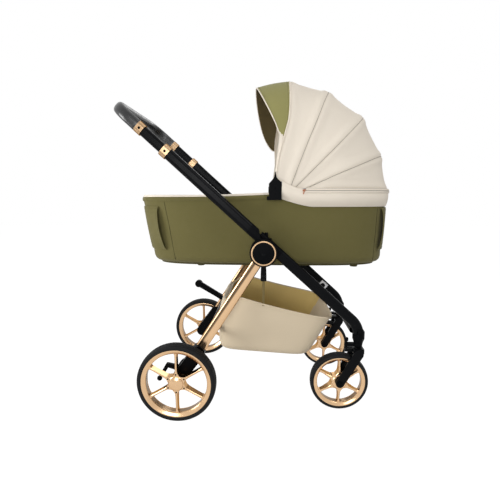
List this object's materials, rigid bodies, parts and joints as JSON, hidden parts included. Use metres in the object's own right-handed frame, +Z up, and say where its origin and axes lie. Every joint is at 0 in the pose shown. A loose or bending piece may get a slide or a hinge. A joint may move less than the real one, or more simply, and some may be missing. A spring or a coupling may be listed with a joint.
{
  "type": "bassinet pram",
  "caption": "Pram with a lift-off padded cot, a folding hood, a basket, a telescopic push bar and a folding frame on large rear wheels and swivel front wheels.",
  "frame": {"origin": "bottom centre of the box round the pram, on the floor", "axes": "+X forwards to the swivel wheels, +Y to the pram's left, +Z up"},
  "size_m": [0.9279, 0.588, 1.136],
  "materials": {
    "frame_black": "satin black",
    "frame_gold": "polished rose gold",
    "moulded_black": "fine grain",
    "pin_steel": "turned",
    "bow_steel": "spring strip",
    "tyre_black": "matt",
    "grip_leather": "fine grain, stitched",
    "cot_olive": "smooth weave",
    "cloth_cream": "soft leatherette",
    "basket_beige": "woven",
    "mattress_white": "soft knit",
    "webbing_black": "webbing",
    "cable_black": "smooth"
  },
  "bodies": {
    "chassis": {"front_leg_left": "frame_black", "front_leg_right": "frame_black", "front_crossbar": "frame_black", "swivel_housings": "moulded_black", "hub_housings": "moulded_black", "hub_covers": "moulded_black", "hub_rings": "frame_gold", "hub_pins": "pin_steel", "cot_adapters": "moulded_black", "leg_lugs": "pin_steel", "basket_straps": "webbing_black", "basket": "basket_beige"},
    "handle_lower": {"handle_tubes": "frame_black", "handle_knuckles": "moulded_black", "handle_collars": "frame_gold"},
    "handle_upper": {"push_bar": "frame_black", "grip": "grip_leather", "grip_collars": "frame_gold"},
    "rear_legs": {"rear_leg_left": "frame_gold", "rear_leg_right": "frame_gold", "rear_crossbar": "frame_black", "wheel_shoes": "moulded_black", "rear_axles": "pin_steel", "brake_cable": "cable_black"},
    "fold_pedal": {"fold_pedal": "moulded_black"},
    "brake_pedal": {"brake_pedal": "moulded_black"},
    "rear_wheel_left": {"rear_tyre_left": "tyre_black", "rear_rim_left": "frame_gold", "rear_cap_left": "frame_gold"},
    "rear_wheel_right": {"rear_tyre_right": "tyre_black", "rear_rim_right": "frame_gold", "rear_cap_right": "frame_gold"},
    "caster_left": {"fork_left": "frame_black", "caster_pins_left": "pin_steel"},
    "caster_right": {"fork_right": "frame_black", "caster_pins_right": "pin_steel"},
    "front_wheel_left": {"front_tyre_left": "tyre_black", "front_rim_left": "frame_gold"},
    "front_wheel_right": {"front_tyre_right": "tyre_black", "front_rim_right": "frame_gold"},
    "swivel_lock_left": {"swivel_lock_left": "moulded_black"},
    "swivel_lock_right": {"swivel_lock_right": "moulded_black"},
    "cot_button_left": {"cot_button_left": "moulded_black"},
    "cot_button_right": {"cot_button_right": "moulded_black"},
    "cot": {"cot_shell": "cot_olive", "cot_base": "moulded_black", "mattress": "mattress_white", "end_straps": "cot_olive", "hood_brackets": "moulded_black", "cot_plugs": "moulded_black", "apron": "cloth_cream"},
    "hood_bow_3": {"bow_3": "bow_steel", "head_skirt": "cloth_cream"},
    "hood_bow_2": {"bow_2": "bow_steel", "gore_2": "cloth_cream"},
    "hood_bow_1": {"bow_1": "bow_steel", "gore_1": "cloth_cream"},
    "hood_bow_0": {"bow_0": "bow_steel", "gore_0": "cloth_cream", "visor": "cot_olive"}
  },
  "joints": [
    {"name": "handle_fold", "type": "hinge", "parent": "chassis", "child": "handle_lower", "pos_m": [0.02741, 0, 0.556], "axis": [0, 1, 0], "range_deg": [0, 156], "deforming": ["basket"]},
    {"name": "handle_telescope", "type": "slide", "parent": "handle_lower", "child": "handle_upper", "axis": [-0.7396, 0, 0.673], "range_m": [-0.075, 0.04]},
    {"name": "rear_fold", "type": "hinge", "parent": "chassis", "child": "rear_legs", "pos_m": [0.02741, 0, 0.556], "axis": [0, 1, 0], "range_deg": [-42, 0]},
    {"name": "rear_spin_left", "type": "hinge", "parent": "rear_legs", "child": "rear_wheel_left", "pos_m": [-0.25559, 0.27, 0.131], "axis": [0, 1, 0], "continuous": true},
    {"name": "rear_spin_right", "type": "hinge", "parent": "rear_legs", "child": "rear_wheel_right", "pos_m": [-0.25559, -0.27, 0.131], "axis": [0, 1, 0], "continuous": true},
    {"name": "fold_pedal_press", "type": "hinge", "parent": "rear_legs", "child": "fold_pedal", "pos_m": [-0.17853, 0.2215, 0.29381], "axis": [0, 1, 0], "range_deg": [-22, 0], "stiffness_Nm_per_rad": 3, "springref_deg": 4.58},
    {"name": "brake_pedal_lift", "type": "hinge", "parent": "rear_legs", "child": "brake_pedal", "pos_m": [-0.26359, -0.2, 0.147], "axis": [0, 1, 0], "range_deg": [0, 14]},
    {"name": "caster_swivel_left", "type": "hinge", "parent": "chassis", "child": "caster_left", "pos_m": [0.35341, 0.174, 0.24], "axis": [0, 0, 1], "continuous": true},
    {"name": "front_spin_left", "type": "hinge", "parent": "caster_left", "child": "front_wheel_left", "pos_m": [0.29091, 0.174, 0.1], "axis": [0, 1, 0], "continuous": true},
    {"name": "swivel_lock_press_left", "type": "slide", "parent": "chassis", "child": "swivel_lock_left", "axis": [0, 0, -1], "range_m": [0, 0.006], "stiffness_N_per_m": 150, "springref_m": -0.004},
    {"name": "cot_button_press_left", "type": "slide", "parent": "chassis", "child": "cot_button_left", "axis": [0, 0, -1], "range_m": [0, 0.004], "stiffness_N_per_m": 150, "springref_m": -0.004},
    {"name": "caster_swivel_right", "type": "hinge", "parent": "chassis", "child": "caster_right", "pos_m": [0.35341, -0.174, 0.24], "axis": [0, 0, 1], "continuous": true},
    {"name": "front_spin_right", "type": "hinge", "parent": "caster_right", "child": "front_wheel_right", "pos_m": [0.29091, -0.174, 0.1], "axis": [0, 1, 0], "continuous": true},
    {"name": "swivel_lock_press_right", "type": "slide", "parent": "chassis", "child": "swivel_lock_right", "axis": [0, 0, -1], "range_m": [0, 0.006], "stiffness_N_per_m": 150, "springref_m": -0.004},
    {"name": "cot_button_press_right", "type": "slide", "parent": "chassis", "child": "cot_button_right", "axis": [0, 0, -1], "range_m": [0, 0.004], "stiffness_N_per_m": 150, "springref_m": -0.004},
    {"name": "cot_lift", "type": "slide", "parent": "chassis", "child": "cot", "axis": [0, 0, 1], "range_m": [0, 0.2]},
    {"name": "hood_fold", "type": "hinge", "parent": "cot", "child": "hood_bow_3", "pos_m": [0.06241, 0, 0.762], "axis": [0, 1, 0], "range_deg": [0, 14], "deforming": ["head_skirt", "gore_2", "gore_1", "gore_0"]},
    {"name": "hood_fold_2", "type": "hinge", "parent": "hood_bow_3", "child": "hood_bow_2", "pos_m": [0.06241, 0, 0.762], "axis": [0, 1, 0], "range_deg": [0, 14]},
    {"name": "hood_fold_1", "type": "hinge", "parent": "hood_bow_2", "child": "hood_bow_1", "pos_m": [0.06241, 0, 0.762], "axis": [0, 1, 0], "range_deg": [0, 14]},
    {"name": "hood_fold_0", "type": "hinge", "parent": "hood_bow_1", "child": "hood_bow_0", "pos_m": [0.06241, 0, 0.762], "axis": [0, 1, 0], "range_deg": [0, 14]}
  ],
  "couplings": [
    {"joint": "rear_fold", "follows": "handle_fold", "ratio": -0.269},
    {"joint": "hood_fold_2", "follows": "hood_fold", "ratio": 1},
    {"joint": "hood_fold_1", "follows": "hood_fold", "ratio": 1},
    {"joint": "hood_fold_0", "follows": "hood_fold", "ratio": 1}
  ]
}
